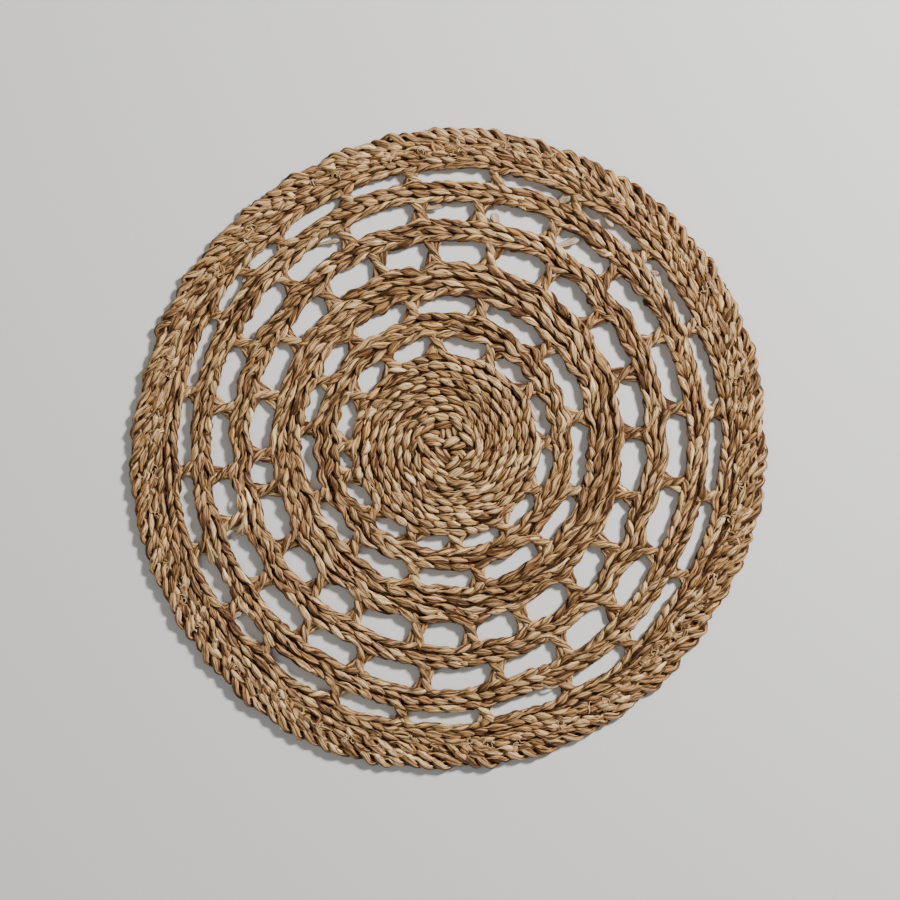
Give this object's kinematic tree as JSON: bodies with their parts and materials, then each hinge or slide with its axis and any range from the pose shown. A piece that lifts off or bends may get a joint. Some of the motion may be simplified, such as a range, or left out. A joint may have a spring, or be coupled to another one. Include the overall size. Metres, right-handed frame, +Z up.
{
  "type": "round woven placemat",
  "caption": "Round openwork placemat twined from seagrass, with a tight spiral centre, ring bands tied by crossed spokes and a broad braided border.",
  "frame": {"origin": "middle of the flat underside, at the middle of the outline's width and depth", "axes": "+Z up out of the mat's face; +X to the right and +Y to the top of the picture"},
  "size_m": [0.379, 0.3828, 0.0064],
  "materials": {
    "seagrass": "natural twisted seagrass cord with a soft sheen"
  },
  "bodies": {
    "root": {"placemat": "seagrass"}
  },
  "joints": []
}
